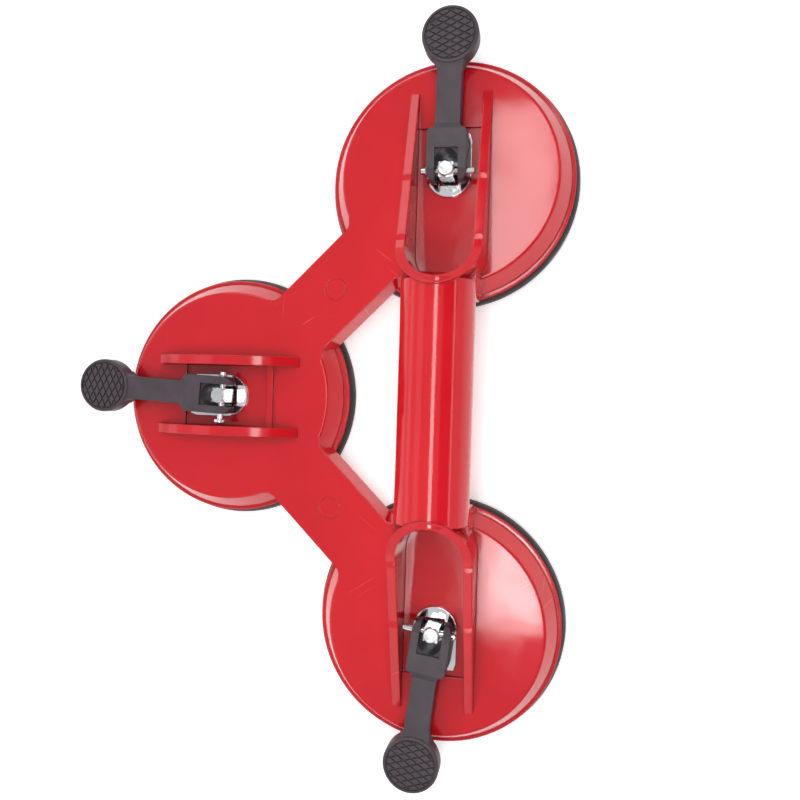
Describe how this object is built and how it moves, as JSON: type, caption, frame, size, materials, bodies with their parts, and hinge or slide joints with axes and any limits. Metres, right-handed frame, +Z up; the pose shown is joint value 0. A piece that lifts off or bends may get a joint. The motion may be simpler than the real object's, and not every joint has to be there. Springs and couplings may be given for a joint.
{
  "type": "vacuum suction lifter",
  "caption": "Vacuum lifter: red moulded housing with a tubular handle and three rubber suction cups in a triangle, each clamped by a black thumb lever.",
  "frame": {"origin": "under the middle of the whole outline, on the plane of the rubber pads' sealing faces", "axes": "+Y along the handle, from the rear cup to the front cup; +Z up, away from the pads; the side cup lies towards -X"},
  "size_m": [0.2356, 0.352, 0.0648],
  "materials": {
    "red_plastic": "glossy moulded ABS",
    "black_plastic": "satin moulded, fine texture",
    "black_rubber": "smooth natural rubber",
    "chrome_plate": "bright nickel-chrome plate",
    "bright_steel": "zinc-plated, turned",
    "spring_steel": "drawn wire"
  },
  "bodies": {
    "housing": {"housing": "red_plastic", "front_wear_plate": "chrome_plate", "rear_wear_plate": "chrome_plate", "side_wear_plate": "chrome_plate"},
    "front_pad_unit": {"front_rubber_pad": "black_rubber", "front_spring": "spring_steel", "front_spring_washer": "bright_steel"},
    "front_stud_unit": {"front_stud": "bright_steel", "front_pressure_disc": "bright_steel"},
    "front_lever_unit": {"front_lever": "black_plastic", "front_lever_pin": "chrome_plate", "front_pin_clip": "spring_steel"},
    "rear_pad_unit": {"rear_rubber_pad": "black_rubber", "rear_spring": "spring_steel", "rear_spring_washer": "bright_steel"},
    "rear_stud_unit": {"rear_stud": "bright_steel", "rear_pressure_disc": "bright_steel"},
    "rear_lever_unit": {"rear_lever": "black_plastic", "rear_lever_pin": "chrome_plate", "rear_pin_clip": "spring_steel"},
    "side_pad_unit": {"side_rubber_pad": "black_rubber", "side_spring": "spring_steel", "side_spring_washer": "bright_steel"},
    "side_stud_unit": {"side_stud": "bright_steel", "side_pressure_disc": "bright_steel"},
    "side_lever_unit": {"side_lever": "black_plastic", "side_lever_pin": "chrome_plate", "side_pin_clip": "spring_steel"}
  },
  "joints": [
    {"name": "front_swivel", "type": "hinge", "parent": "housing", "child": "front_pad_unit", "pos_m": [0.05884, 0.10326, 0], "axis": [0, 0, 1], "range_deg": [-12, 12]},
    {"name": "front_lift", "type": "slide", "parent": "front_pad_unit", "child": "front_stud_unit", "axis": [0, 0, 1], "range_m": [-0.003, 0], "deforming": ["front_spring"]},
    {"name": "front_lever_hinge", "type": "hinge", "parent": "front_stud_unit", "child": "front_lever_unit", "pos_m": [0.05884, 0.10326, 0.0315], "axis": [1, 0, 0], "range_deg": [0, 90]},
    {"name": "rear_swivel", "type": "hinge", "parent": "housing", "child": "rear_pad_unit", "pos_m": [0.05884, -0.10374, 0], "axis": [0, 0, 1], "range_deg": [-4.8, 19.2]},
    {"name": "rear_lift", "type": "slide", "parent": "rear_pad_unit", "child": "rear_stud_unit", "axis": [0, 0, 1], "range_m": [-0.003, 0], "deforming": ["rear_spring"]},
    {"name": "rear_lever_hinge", "type": "hinge", "parent": "rear_stud_unit", "child": "rear_lever_unit", "pos_m": [0.05884, -0.10374, 0.0315], "axis": [-0.9921, 0.1253, 0], "range_deg": [0, 90]},
    {"name": "side_swivel", "type": "hinge", "parent": "housing", "child": "side_pad_unit", "pos_m": [-0.04516, -0.00024, 0], "axis": [0, 0, 1], "range_deg": [-9.1, 14.9]},
    {"name": "side_lift", "type": "slide", "parent": "side_pad_unit", "child": "side_stud_unit", "axis": [0, 0, 1], "range_m": [-0.003, 0], "deforming": ["side_spring"]},
    {"name": "side_lever_hinge", "type": "hinge", "parent": "side_stud_unit", "child": "side_lever_unit", "pos_m": [-0.04516, -0.00024, 0.0315], "axis": [0.0506, 0.9987, 0], "range_deg": [0, 90]}
  ],
  "couplings": [
    {"joint": "front_lift", "follows": "front_lever_hinge", "m_per_rad": -0.0019098},
    {"joint": "rear_lift", "follows": "rear_lever_hinge", "m_per_rad": -0.0019098},
    {"joint": "side_lift", "follows": "side_lever_hinge", "m_per_rad": -0.0019098}
  ]
}
